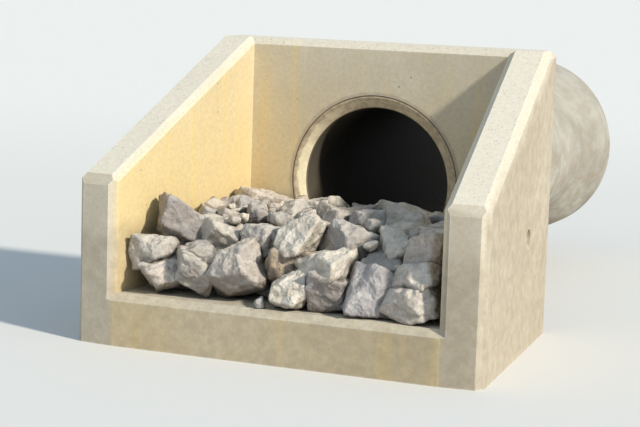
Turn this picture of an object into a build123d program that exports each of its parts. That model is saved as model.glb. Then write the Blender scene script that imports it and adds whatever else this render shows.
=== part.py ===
"""Culvert headwall: a precast outlet casting with its pipe, mortar joints, lifting anchors and stone bed.

Millimetres. +X is to the right as seen from the outlet, +Y runs upstream along the pipe, +Z is up.
The origin lies on the underside, below the middle of the back wall's front face.
"""

from build123d import *

import math
import os

# Pipe
bore_radius = 232
pipe_wall = 35
pipe_length = 1500
socket_depth = 95
socket_wall = 44
ring_space = 14
shoulder_length = 12
flare_length = 95
lead_in = 8
arris = 5

# Casting
inner_width = 830
wall_thickness = 125
wing_thickness = 125
wing_length = 745
splay = 5.6
slab_thickness = 150
apron_drop = 45
wall_above_axis = 430
wing_end_above_axis = 50
chamfer_size = 20
opening_clearance = 5
opening_draft = 15

# Mortar
collar_depth = 30
bevel_depth = 24
bevel_land = 4
joint_width = 4
joint_depth = 5
fillet_reach = 42

# Lifting anchors
recess_radius = 30
anchor_head_radius = 9.5
anchor_head_height = 6
anchor_shaft_radius = 5
anchor_foot_radius = 12.5
anchor_foot_height = 6
anchor_length = 75
anchor_sink = 9
wall_anchor_offset = 370
wall_anchor_below_top = 170
wing_anchor_along = 210
wing_anchor_height = 330

# Stone bed
bed_clearance = 6
core_depth = 145
core_setback = 90
core_slope = 105
bed_peak = 266
cover_rows = 5
slope_rows = 2
stone_columns = 7
back_inset = 68
front_inset = 196
foot_inset = 70
side_inset = 64
foot_rise = 48
cover_rise = 170
stone_rise_spread = 16
row_stagger = 16
stone_drift = 16
stone_size = 138
stone_size_spread = 0.15
stone_width_share = 0.88
stone_height_share = 0.72
stone_share_spread = 0.08
stone_skew = 38
stone_skew_spread = 12
stone_corner_turn = 45
stone_tilt = 16
stone_turn = 90

# Sizes that follow from the ones above
pipe_radius = bore_radius + pipe_wall
axis_height = slab_thickness + apron_drop + bore_radius
wall_height = axis_height + wall_above_axis
wing_end_height = axis_height + wing_end_above_axis
opening_front_radius = pipe_radius + opening_clearance
opening_back_radius = opening_front_radius + opening_draft
collar_radius = opening_front_radius - joint_width
splay_angle = math.radians(splay)
half_width = inner_width / 2


def plan_point(side, along, across):
    """Point of a wing in plan: along the inner face from the wall, and across the wing's thickness."""
    x = half_width + along * math.sin(splay_angle) + across * math.cos(splay_angle)
    y = -along * math.cos(splay_angle) + across * math.sin(splay_angle)
    return (side * x, y)


def outer_back_corner(side):
    """Plan corner where the outer face of a wing, carried on upstream, meets the back of the wall."""
    _, y = plan_point(side, 0, wing_thickness)
    along = -(wall_thickness - y) / math.cos(splay_angle)
    return plan_point(side, along, wing_thickness)


def wall_plan():
    """Plan outline of the back wall and both wings, a U open towards the outlet."""
    return Polyline(
        plan_point(-1, 0, 0),
        plan_point(-1, wing_length, 0),
        plan_point(-1, wing_length, wing_thickness),
        outer_back_corner(-1),
        outer_back_corner(1),
        plan_point(1, wing_length, wing_thickness),
        plan_point(1, wing_length, 0),
        plan_point(1, 0, 0),
        close=True,
    )


def apron_plan():
    """Plan outline of the slab between the wings."""
    return Polyline(
        plan_point(-1, 0, 0),
        plan_point(-1, wing_length, 0),
        plan_point(1, wing_length, 0),
        plan_point(1, 0, 0),
        close=True,
    )


def wing_frame(side):
    """Plane at the wing's inner corner: its X runs along the wing, its Z away from the culvert's middle."""
    direction = Vector(side * math.sin(splay_angle), -math.cos(splay_angle), 0)
    outward = Vector(side * math.cos(splay_angle), math.sin(splay_angle), 0)
    x, y = plan_point(side, 0, 0)
    return Plane(origin=(x, y, 0), x_dir=direction, z_dir=outward)


def wing_top_cut(side):
    """The wedge of air above a wing's sloping top."""
    margin = 60
    drop_per_length = (wall_height - wing_end_height) / wing_length
    low = wing_end_height - margin * drop_per_length
    frame = wing_frame(side)
    up = 1 if frame.y_dir.Z > 0 else -1
    reach = wing_length + margin
    outline = Polyline(
        (0, up * wall_height),
        (reach, up * low),
        (reach, up * (wall_height + margin)),
        (0, up * (wall_height + margin)),
        close=True,
    )
    sheet = frame * make_face(outline)
    return extrude(sheet, amount=wing_thickness + margin, dir=frame.z_dir) + extrude(
        sheet, amount=margin, dir=-frame.z_dir
    )


def revolved(points):
    """Ring or tube turned about the pipe's axis from (distance upstream, radius) points."""
    profile = make_face(Polyline(*[(radius, y) for y, radius in points], close=True))
    turned = revolve(profile, axis=Axis.Y)
    return Pos(0, 0, axis_height) * turned


def chamfer_strip(start, end, into_one, into_other, overrun, overrun_end=None):
    """Three-cornered strip laid in the mould along an arris, which leaves a chamfer there.

    into_one and into_other point from the arris into its two faces. The strip stands proud of both by
    a share of the chamfer, and runs on past both ends by the overrun, or by another length past its end.
    """
    start = Vector(*start)
    end = Vector(*end)
    one = Vector(*into_one) * chamfer_size
    other = Vector(*into_other) * chamfer_size
    along = (end - start).normalized()
    first = start - along * overrun
    proud = 0.5
    over_one = first + one * (1 + proud) - other * proud
    over_other = first + other * (1 + proud) - one * proud
    section = make_face(Polyline(over_one, over_other, first - one - other, close=True))
    length = (end - start).length + overrun + (overrun if overrun_end is None else overrun_end)
    return extrude(section, amount=length, dir=along)


def walls_and_wings():
    """Back wall and wings as one body, every outer arris chamfered and the inner corners mitred."""
    walls = extrude(make_face(wall_plan()), amount=wall_height)
    margin = 2 * chamfer_size
    down = (0, 0, -1)
    wall_arris = ((-half_width, 0, wall_height), (half_width, 0, wall_height), (0, 1, 0), down)
    slab_left = (*plan_point(-1, wing_length, 0), slab_thickness)
    slab_right = (*plan_point(1, wing_length, 0), slab_thickness)
    slab_arris = (slab_left, slab_right, (0, 1, 0), down)
    strips = [chamfer_strip(*wall_arris, 0)]
    for side in (-1, 1):
        walls -= wing_top_cut(side)
        sine = math.sin(splay_angle)
        cosine = math.cos(splay_angle)
        inward = (-side * cosine, -sine, 0)
        outward = (side * cosine, sine, 0)
        downstream = (side * sine, -cosine, 0)
        upstream = (-side * sine, cosine, 0)
        knee_in = (*plan_point(side, 0, 0), wall_height)
        knee_out = (*plan_point(side, 0, wing_thickness), wall_height)
        end_in = (*plan_point(side, wing_length, 0), wing_end_height)
        end_out = (*plan_point(side, wing_length, wing_thickness), wing_end_height)
        foot_in = (end_in[0], end_in[1], slab_thickness)
        deep_in = (end_in[0], end_in[1], slab_thickness - margin)
        back = (*outer_back_corner(side), wall_height)
        upstream_in = (*plan_point(side, -margin, 0), wall_height)
        upslope = (Vector(*knee_in) - Vector(*end_in)).normalized()
        strips += [
            chamfer_strip(knee_in, end_in, outward, down, 0, chamfer_size / 2),
            chamfer_strip(upstream_in, knee_in, outward, down, 0, chamfer_size)
            & chamfer_strip(*wall_arris, margin),
            chamfer_strip(knee_out, end_out, inward, down, margin),
            chamfer_strip(back, knee_out, inward, down, margin),
            chamfer_strip(end_in, end_out, upslope, down, margin),
            chamfer_strip(end_in, foot_in, outward, upstream, margin, 0),
            chamfer_strip(foot_in, deep_in, outward, upstream, chamfer_size, 0)
            & chamfer_strip(*slab_arris, margin),
            chamfer_strip(end_out, (end_out[0], end_out[1], 0), inward, upstream, margin),
            chamfer_strip(back, (back[0], back[1], 0), (-side, 0, 0), downstream, margin),
        ]
    back_left = (*outer_back_corner(-1), wall_height)
    back_right = (*outer_back_corner(1), wall_height)
    strips.append(chamfer_strip(back_left, back_right, (0, -1, 0), down, margin))
    return walls - strips


def apron():
    """Slab between the wings, its front top edge chamfered."""
    slab = extrude(make_face(apron_plan()), amount=slab_thickness)
    front_edge = slab.edges().filter_by(Axis.X).group_by(Axis.Y)[0].sort_by(Axis.Z)[-1]
    return chamfer(front_edge, chamfer_size)


def anchor_places():
    """Name, point on the concrete face and outward direction of each lifting anchor."""
    places = []
    for side, word in ((-1, "left"), (1, "right")):
        wall_point = (side * wall_anchor_offset, wall_thickness, wall_height - wall_anchor_below_top)
        places.append((f"wall_anchor_{word}", wall_point, (0, 1, 0)))
        x, y = plan_point(side, wing_anchor_along, wing_thickness)
        outward = (side * math.cos(splay_angle), math.sin(splay_angle), 0)
        places.append((f"wing_anchor_{word}", (x, y, wing_anchor_height), outward))
    return places


def anchor_body():
    """Steel anchor with a round head and foot, turned about Z, with the concrete face at height 0."""
    head = -anchor_sink
    neck = head - anchor_head_height
    foot = head - anchor_length
    profile = Polyline(
        (0, head),
        (anchor_head_radius, head),
        (anchor_head_radius, neck),
        (anchor_shaft_radius, neck),
        (anchor_shaft_radius, foot + anchor_foot_height),
        (anchor_foot_radius, foot + anchor_foot_height),
        (anchor_foot_radius, foot),
        (0, foot),
        close=True,
    )
    return revolve(Plane.XZ * make_face(profile), axis=Axis.Z)


def headwall_casting():
    """The one casting: back wall, wings and apron with their chamfers, opening and anchor recesses."""
    body = walls_and_wings() + apron()
    margin = 1
    draft = opening_draft / wall_thickness
    body -= revolved(
        [
            (-margin, 0),
            (-margin, opening_front_radius - margin * draft),
            (wall_thickness + margin, opening_back_radius + margin * draft),
            (wall_thickness + margin, 0),
        ]
    )
    for _, point, outward in anchor_places():
        place = Plane(origin=point, z_dir=outward)
        body -= place * Sphere(recess_radius)
        body -= place * anchor_body()
    return body


def outlet_pipe():
    """Pipe length with a plain spigot in the wall and a flared socket at its upstream end."""
    start = collar_depth
    seat = start + pipe_length
    end = seat + socket_depth
    socket_radius = pipe_radius + ring_space
    outer_radius = socket_radius + socket_wall
    return revolved(
        [
            (start, bore_radius),
            (start, pipe_radius),
            (seat - flare_length, pipe_radius),
            (seat, outer_radius),
            (end - arris, outer_radius),
            (end, outer_radius - arris),
            (end, socket_radius + lead_in),
            (end - lead_in, socket_radius),
            (seat + shoulder_length, socket_radius),
            (seat, bore_radius + pipe_wall / 2),
            (seat, bore_radius),
        ]
    )


def mouth_collar():
    """Mortar ring struck to a bevel from the wall's face down to the pipe's bore."""
    return revolved(
        [
            (0, collar_radius),
            (0, collar_radius - bevel_land),
            (bevel_depth, bore_radius),
            (collar_depth, bore_radius),
            (collar_depth, collar_radius),
        ]
    )


def joint_packing():
    """Mortar rammed into the tapered opening round the pipe, from the joint line to the wall's back."""
    draft = opening_draft / wall_thickness
    return revolved(
        [
            (joint_depth, collar_radius),
            (collar_depth, collar_radius),
            (collar_depth, pipe_radius),
            (wall_thickness, pipe_radius),
            (wall_thickness, opening_back_radius),
            (joint_depth, opening_front_radius + joint_depth * draft),
        ]
    )


def rear_fillet():
    """Mortar fillet that closes the joint where the pipe leaves the back of the wall."""
    return revolved(
        [
            (wall_thickness, pipe_radius),
            (wall_thickness, pipe_radius + fillet_reach),
            (wall_thickness + fillet_reach, pipe_radius),
        ]
    )


def bed_outline(setback):
    """Plan outline of the stone bed, clear of the walls, its front drawn back by the setback."""
    front = wing_length - bed_clearance - setback
    return make_face(
        Polyline(
            plan_point(-1, bed_clearance, -bed_clearance),
            plan_point(-1, front, -bed_clearance),
            plan_point(1, front, -bed_clearance),
            plan_point(1, bed_clearance, -bed_clearance),
            close=True,
        )
    )


def wander(row, column, kind):
    """Number from -1 to 1 that differs from stone to stone and from one kind of use to the next."""
    return math.sin(4.7 * row + 2.9 * column + 1.9 * kind + 1.3 * row * column)


def stone(row, column):
    """One angular stone about its own middle: what two blocks laid askew have in common, no two alike."""
    size = stone_size * (1 + stone_size_spread * wander(row, column, 1))
    width = size * (stone_width_share + stone_share_spread * wander(row, column, 2))
    height = size * (stone_height_share + stone_share_spread * wander(row, column, 3))
    roll = stone_skew + stone_skew_spread * wander(row, column, 4)
    skew = Rot(roll, stone_skew_spread * wander(row, column, 5), stone_corner_turn)
    shape = Box(size, width, height) & skew * Box(size, size, size)
    tilt = stone_tilt * wander(row, column, 6)
    lean = stone_tilt * wander(row, column, 7)
    return Rot(tilt, lean, stone_turn * wander(row, column, 8)) * shape


def stone_places():
    """Row, column and middle of each stone: a cover row after row, then rows down the slope in front."""
    length = wing_length - bed_clearance
    span = length - front_inset - back_inset
    rows = [(back_inset + span * row / (cover_rows - 1), cover_rise) for row in range(cover_rows)]
    for row in range(slope_rows):
        share = (row + 1) / slope_rows
        along = length - front_inset + (front_inset - foot_inset) * share
        rows.append((along, cover_rise + (foot_rise - cover_rise) * share))
    places = []
    for row, (along, rise) in enumerate(rows):
        reach = plan_point(1, along, -bed_clearance)[0] - side_inset
        for column in range(stone_columns):
            across = reach * (2 * column / (stone_columns - 1) - 1) + row_stagger * (-1) ** row
            x = across + stone_drift * wander(row, column, 9)
            y = -along + stone_drift * wander(row, column, 10)
            z = slab_thickness + rise + stone_rise_spread * wander(row, column, 11)
            places.append((row, column, (x, y, z)))
    return places


def stone_bed():
    """Loose broken stone on the apron: a core under a cover of single stones that slopes down in front."""
    bottom = Plane.XY.offset(slab_thickness)
    low = bottom * bed_outline(core_setback)
    high = bottom.offset(core_depth) * bed_outline(core_setback + core_slope)
    stones = [Pos(*middle) * stone(row, column) for row, column, middle in stone_places()]
    envelope = extrude(bottom * bed_outline(0), amount=bed_peak)
    return (loft([low, high]) + stones) & envelope


def main():
    """Build every piece and write each to its own file."""
    os.makedirs("parts", exist_ok=True)
    pieces = {
        "headwall_casting": headwall_casting(),
        "outlet_pipe": outlet_pipe(),
        "mouth_collar": mouth_collar(),
        "joint_packing": joint_packing(),
        "rear_fillet": rear_fillet(),
        "stone_bed": stone_bed(),
    }
    for name, point, outward in anchor_places():
        pieces[name] = Plane(origin=point, z_dir=outward) * anchor_body()
    for name, piece in pieces.items():
        piece.label = name
        export_step(piece, f"parts/{name}.step")
        print(name, round(piece.volume / 1e6, 2), "litres")


main()
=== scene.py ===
"""Looks of the culvert headwall: finishes for its concrete, pipe, mortar and anchors, and loose stones.

Metres, in the model's own frame: +X to the right as seen from the outlet, +Y upstream along the pipe,
+Z up, origin on the underside below the middle of the back wall's front face.
"""

import logging
import math
import random
from dataclasses import dataclass, field
from enum import Enum, IntEnum
from functools import partial, reduce

import bmesh
import bpy
import numpy as np
from bpy.types import Material, Node, NodeTree, NodeTreeInterfaceSocket, Object
from bpy.types import NodeSocket as Socket
from mathutils import Euler, Matrix, Vector, noise


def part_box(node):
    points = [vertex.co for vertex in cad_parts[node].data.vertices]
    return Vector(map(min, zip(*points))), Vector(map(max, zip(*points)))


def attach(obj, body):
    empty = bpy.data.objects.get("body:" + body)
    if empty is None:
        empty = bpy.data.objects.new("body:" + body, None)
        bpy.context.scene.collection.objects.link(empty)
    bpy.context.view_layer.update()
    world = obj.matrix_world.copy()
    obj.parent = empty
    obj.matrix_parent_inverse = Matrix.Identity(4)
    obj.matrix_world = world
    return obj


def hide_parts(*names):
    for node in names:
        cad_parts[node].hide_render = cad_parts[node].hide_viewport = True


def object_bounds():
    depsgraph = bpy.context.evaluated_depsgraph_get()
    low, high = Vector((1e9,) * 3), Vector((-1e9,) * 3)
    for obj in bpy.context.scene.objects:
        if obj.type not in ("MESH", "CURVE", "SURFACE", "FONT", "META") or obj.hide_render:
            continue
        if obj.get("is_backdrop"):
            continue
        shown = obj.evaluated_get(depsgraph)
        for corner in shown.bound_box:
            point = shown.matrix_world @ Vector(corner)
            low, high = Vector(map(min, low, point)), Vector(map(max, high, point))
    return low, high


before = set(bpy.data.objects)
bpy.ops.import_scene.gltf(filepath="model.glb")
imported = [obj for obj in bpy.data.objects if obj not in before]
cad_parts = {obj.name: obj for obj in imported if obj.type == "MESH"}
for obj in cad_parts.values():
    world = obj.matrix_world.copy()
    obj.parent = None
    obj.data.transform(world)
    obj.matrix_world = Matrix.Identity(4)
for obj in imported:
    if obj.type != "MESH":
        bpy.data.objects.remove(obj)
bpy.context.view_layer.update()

log = logging.getLogger("headwall")

Colour = tuple[float, float, float]

# Values that each stone's mesh carries for its finish: three drawn ones, and its share of painted shade in
# the silt colour
DRAWN = "stone_draw"
SILT_AND_SHADE = "stone_silt_and_shade"

# Where in the noise a stone's ledges are read, and the falloff, spacing and number of its roughness octaves
LEDGE_SHIFT = Vector((7.0, 3.0, 5.0))
ROUGH_OCTAVES = (0.75, 2.1, 4)


# Node helpers

class Wiring:
    """Places nodes in one node tree and joins them."""

    def __init__(self, tree: NodeTree) -> None:
        """Keep the node tree of a material, a world or a group to work in."""
        self.tree = tree

    def feed(self, socket: Socket, value: object) -> None:
        """Join a socket to an input, or set the input's own value.

        Args:
            socket: The input.
            value: Another node's output, a number, or a tuple of numbers.
        """
        if isinstance(value, Socket):
            self.tree.links.new(value, socket)
        elif isinstance(value, tuple) and socket.type == "RGBA" and len(value) == 3:
            socket.default_value = (*value, 1.0)
        else:
            socket.default_value = value

    def add(self, kind: str, inputs: dict[str | int, object] | None = None, **settings: object) -> Node:
        """Add a node.

        Args:
            kind: The node's type name without its ShaderNode in front.
            inputs: Values or sockets for its inputs, by name or by number.
            settings: Values for the node's own properties.

        Returns:
            The new node.
        """
        node = self.tree.nodes.new("ShaderNode" + kind)
        for name, value in settings.items():
            setattr(node, name, value)
        for key, value in (inputs or {}).items():
            self.feed(node.inputs[key], value)
        return node

    def math(self, operation: str, first: object, second: object = 0.0, clamp: bool = False) -> Socket:
        """Join two values by one operation and return the result."""
        return self.add("Math", {0: first, 1: second}, operation=operation, use_clamp=clamp).outputs[0]

    def times(self, *values: object) -> Socket:
        """Return the product of the values."""
        return reduce(partial(self.math, "MULTIPLY"), values)

    def plus(self, *values: object) -> Socket:
        """Return the sum of the values."""
        return reduce(partial(self.math, "ADD"), values)

    def most(self, *values: object) -> Socket:
        """Return the greatest of the values."""
        return reduce(partial(self.math, "MAXIMUM"), values)

    def minus(self, first: object, second: object) -> Socket:
        """Return the first value less the second."""
        return self.math("SUBTRACT", first, second)

    def rest(self, share: object) -> Socket:
        """Return what a share leaves of 1."""
        return self.minus(1.0, share)

    def mix(self, share: object, first: object, second: object, blend: str = "MIX") -> Socket:
        """Return a mix of two colours, the second one by the share."""
        node = self.add("Mix", {0: share, 6: first, 7: second}, data_type="RGBA", blend_type=blend)
        return node.outputs[2]

    def tint(self, colour: object, cover: object, *shares: object) -> Socket:
        """Return a colour covered by another one as far as the product of the shares goes."""
        return self.mix(self.times(*shares), colour, cover)

    def span(
        self, value: object, low: object, high: object, to_low: float = 0.0, to_high: float = 1.0
    ) -> Socket:
        """Return a value eased from the range low to high into another range."""
        inputs = {"Value": value, "From Min": low, "From Max": high, "To Min": to_low, "To Max": to_high}
        return self.add("MapRange", inputs, interpolation_type="SMOOTHSTEP").outputs[0]

    def place(self) -> Socket:
        """Return the point on the object, in metres in its own frame."""
        return self.add("TexCoord").outputs["Object"]

    def cloud(self, vector: object, scale: object, detail: float = 4.0, roughness: float = 0.55) -> Socket:
        """Return a noise value, about 0.5 on average, at the given scale."""
        inputs = {"Vector": vector, "Scale": scale, "Detail": detail, "Roughness": roughness}
        return self.add("TexNoise", inputs).outputs[0]

    def ragged(self, scale: float, reach: float) -> Socket:
        """Return a noise at the given scale that wavers about 0, over the given reach from end to end."""
        return self.times(self.minus(self.cloud(self.place(), scale), 0.5), reach)

    def stretch(self, vector: Socket, factors: Colour) -> Socket:
        """Return a point scaled along its three axes."""
        return self.add("VectorMath", {0: vector, 1: factors}, operation="MULTIPLY").outputs[0]

    def parts(self, vector: Socket) -> tuple[Socket, Socket, Socket]:
        """Return the three coordinates of a vector."""
        split = self.add("SeparateXYZ", {0: vector})
        return split.outputs[0], split.outputs[1], split.outputs[2]

    def from_axis(self, height: float) -> Socket:
        """Measure how far a point is from the pipe's axis, which runs along Y.

        Args:
            height: The axis's height.

        Returns:
            The distance in metres.
        """
        x, _, z = self.parts(self.place())
        rise = self.minus(z, height)
        return self.math("SQRT", self.plus(self.times(x, x), self.times(rise, rise)))

    def ramp(self, value: Socket, bands: tuple[tuple[float, Colour], ...]) -> Socket:
        """Turn a value into one of several colours.

        Args:
            value: The value, from 0 to 1.
            bands: The start of each band, with its colour.

        Returns:
            The colour.
        """
        node = self.add("ValToRGB", {0: value})
        node.color_ramp.interpolation = "CONSTANT"
        stops = node.color_ramp.elements
        for index, (start, colour) in enumerate(bands):
            stop = stops[index] if index < len(stops) else stops.new(start)
            stop.position = start
            stop.color = (*colour, 1.0)
        return node.outputs[0]

    def relief(self, height: Socket, strength: float, distance: float) -> Socket:
        """Return the normal bent by a height, where a height of 1 stands for the given distance."""
        return self.add("Bump", {"Strength": strength, "Distance": distance, "Height": height}).outputs[0]

    def effect(self, group: NodeTree, **values: object) -> Node:
        """Place an effect's group, its inputs set by name, and return its node."""
        return self.add("Group", values, node_tree=group)

    def mask(self, group: NodeTree, **values: object) -> Socket:
        """Place an effect's group, its inputs set by name, and return its first output."""
        return self.effect(group, **values).outputs[0]


class Group(Wiring):
    """A new node group with number sockets, and the wiring inside it."""

    def __init__(self, name: str, **inputs: float) -> None:
        """Make the group with its inputs.

        Args:
            name: The group's name.
            inputs: The usual values of its inputs, by name.
        """
        super().__init__(bpy.data.node_groups.new(name, "ShaderNodeTree"))
        for label, usual in inputs.items():
            self.new_socket(label, "INPUT").default_value = usual
        self.given = self.tree.nodes.new("NodeGroupInput").outputs

    def new_socket(self, label: str, side: str) -> NodeTreeInterfaceSocket:
        """Add a number socket on the input or output side and return it."""
        return self.tree.interface.new_socket(label, in_out=side, socket_type="NodeSocketFloat")

    def scale(self, size: str) -> Socket:
        """Return the scale that gives noise the size of the named input."""
        return self.math("DIVIDE", 1.0, self.given[size])

    def put_out(self, **values: Socket) -> NodeTree:
        """Add the group's outputs.

        Args:
            values: What each output gives, by its name.

        Returns:
            The finished group.
        """
        for label in values:
            self.new_socket(label, "OUTPUT")
        sink = self.tree.nodes.new("NodeGroupOutput")
        for label, value in values.items():
            self.feed(sink.inputs[label], value)
        return self.tree


def make_blotches() -> NodeTree:
    """Build the effect of cloudy patches of a given size in metres.

    Returns:
        The group.
    """
    group = Group("blotches", Size=0.2, Contrast=0.25)
    value = group.cloud(group.place(), group.scale("Size"), detail=5.0, roughness=0.6)
    contrast = group.given["Contrast"]
    return group.put_out(Mask=group.span(value, group.minus(0.5, contrast), group.plus(0.5, contrast)))


def make_grain() -> NodeTree:
    """Build the effect of fine sandy grain with sparse dark specks.

    Returns:
        The group.
    """
    group = Group("grain", Size=0.004, Specks=0.2)
    scale = group.scale("Size")
    place = group.place()
    coarse = group.cloud(place, group.times(scale, 0.3), detail=3.0)
    fine = group.cloud(place, scale, detail=2.0, roughness=0.7)
    both = group.plus(group.times(coarse, 0.55), group.times(fine, 0.45))
    cells = group.add("TexVoronoi", {"Vector": place, "Scale": group.times(scale, 0.45)})
    chance = group.add("SeparateColor", {0: cells.outputs["Color"]}).outputs[0]
    chosen = group.math("LESS_THAN", chance, group.given["Specks"])
    speck = group.times(group.span(cells.outputs["Distance"], 0.42, 0.2), chosen)
    return group.put_out(Tone=group.span(both, 0.36, 0.64), Height=both, Speck=speck)


def make_pits() -> NodeTree:
    """Build the effect of round air holes, whose height is 1 on the surface and 0 at a hole's bottom.

    Returns:
        The group.
    """
    group = Group("pits", Spacing=0.03, Radius=0.002, Share=0.4)
    scale = group.scale("Spacing")
    cells = group.add("TexVoronoi", {"Vector": group.place(), "Scale": scale})
    drawn = group.add("SeparateColor", {0: cells.outputs["Color"]})
    radius = group.times(group.given["Radius"], scale, drawn.outputs[1])
    hole = group.span(cells.outputs["Distance"], radius, group.times(radius, 0.45))
    mask = group.times(hole, group.math("LESS_THAN", drawn.outputs[0], group.given["Share"]))
    return group.put_out(Mask=mask, Height=group.rest(mask))


def make_runs() -> NodeTree:
    """Build the effect of upright streaks left by water running down.

    Returns:
        The group.
    """
    group = Group("runs", Width=0.03, Length=0.5)
    across = group.scale("Width")
    x, y, z = group.parts(group.place())
    sideways = group.times(group.plus(x, group.times(y, 0.83)), across)
    coordinates = {0: sideways, 1: group.times(y, across), 2: group.times(z, group.scale("Length"))}
    point = group.add("CombineXYZ", coordinates).outputs[0]
    return group.put_out(Mask=group.span(group.cloud(point, 1.0, detail=3.0), 0.52, 0.72))


def make_arris() -> NodeTree:
    """Build the effect of rubbed arrises: where the rounded normal leaves the real one, broken up by noise.

    Returns:
        The group.
    """
    group = Group("arris", Radius=0.006, Breakup=0.5)
    soft = group.add("Bevel", {"Radius": group.given["Radius"]}, samples=6).outputs[0]
    sharp = group.add("NewGeometry").outputs["Normal"]
    match = group.add("VectorMath", {0: soft, 1: sharp}, operation="DOT_PRODUCT").outputs["Value"]
    patchy = group.span(group.cloud(group.place(), 38.0, detail=4.0, roughness=0.7), 0.36, 0.6)
    broken = group.given["Breakup"]
    share = group.plus(group.rest(broken), group.times(patchy, broken))
    return group.put_out(Mask=group.times(group.span(match, 0.995, 0.93), share))


def make_ground() -> NodeTree:
    """Build the effect of a ground line: 1 below it, fading out above, with an uneven edge.

    Returns:
        The group.
    """
    group = Group("ground", Line=0.3, Fall=0.0, Fade=0.06, Ragged=0.08)
    place = group.place()
    _, y, z = group.parts(place)
    uneven = group.minus(group.cloud(place, 9.0, detail=5.0, roughness=0.6), 0.5)
    line = group.plus(
        group.given["Line"],
        group.times(y, group.given["Fall"]),
        group.times(uneven, group.given["Ragged"]),
    )
    above = group.math("DIVIDE", group.minus(z, line), group.given["Fade"])
    return group.put_out(Mask=group.span(above, 0.5, -0.5))


def make_chips() -> NodeTree:
    """Build the effect of broken facets of a given size in metres, which rise and fall in crooked planes.

    Returns:
        The group.
    """
    group = Group("chips", Size=0.03)
    scale = group.scale("Size")
    place = group.place()
    shove = group.add("TexNoise", {"Vector": place, "Scale": group.times(scale, 0.6), "Detail": 3.0})
    bent = group.add("VectorMath", {0: shove.outputs["Color"], 3: 0.02}, operation="SCALE").outputs[0]
    bent = group.add("VectorMath", {0: place, 1: bent}, operation="ADD").outputs[0]
    cells = group.add("TexVoronoi", {"Vector": bent, "Scale": scale}, feature="F1")
    return group.put_out(Height=cells.outputs["Distance"])


@dataclass(frozen=True)
class Effects:
    """The node groups that several finishes share, each built once."""

    blotches: NodeTree = field(default_factory=make_blotches)
    grain: NodeTree = field(default_factory=make_grain)
    pits: NodeTree = field(default_factory=make_pits)
    runs: NodeTree = field(default_factory=make_runs)
    arris: NodeTree = field(default_factory=make_arris)
    ground: NodeTree = field(default_factory=make_ground)
    chips: NodeTree = field(default_factory=make_chips)


# Finishes

def new_material(name: str) -> tuple[Material, Wiring, Node]:
    """Make a material that holds only a shader and its output.

    Args:
        name: The material's name.

    Returns:
        The material, its wiring and its Principled shader node.
    """
    material = bpy.data.materials.new(name)
    material.use_nodes = True
    material.node_tree.nodes.clear()
    wire = Wiring(material.node_tree)
    shader = wire.add("BsdfPrincipled")
    output = wire.add("OutputMaterial")
    wire.feed(output.inputs["Surface"], shader.outputs[0])
    return material, wire, shader


def coat(
    wire: Wiring, shader: Node, colour: Socket, rough: Socket, normal: Socket, gloss: float = 0.5
) -> None:
    """Feed a finish to its shader.

    Args:
        wire: The material's wiring.
        shader: Its Principled shader node.
        colour: The base colour.
        rough: The roughness.
        normal: The normal, bent by the finish's relief.
        gloss: The specular level.
    """
    wire.feed(shader.inputs["Base Color"], colour)
    wire.feed(shader.inputs["Roughness"], rough)
    wire.feed(shader.inputs["Normal"], normal)
    shader.inputs["Specular IOR Level"].default_value = gloss


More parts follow.
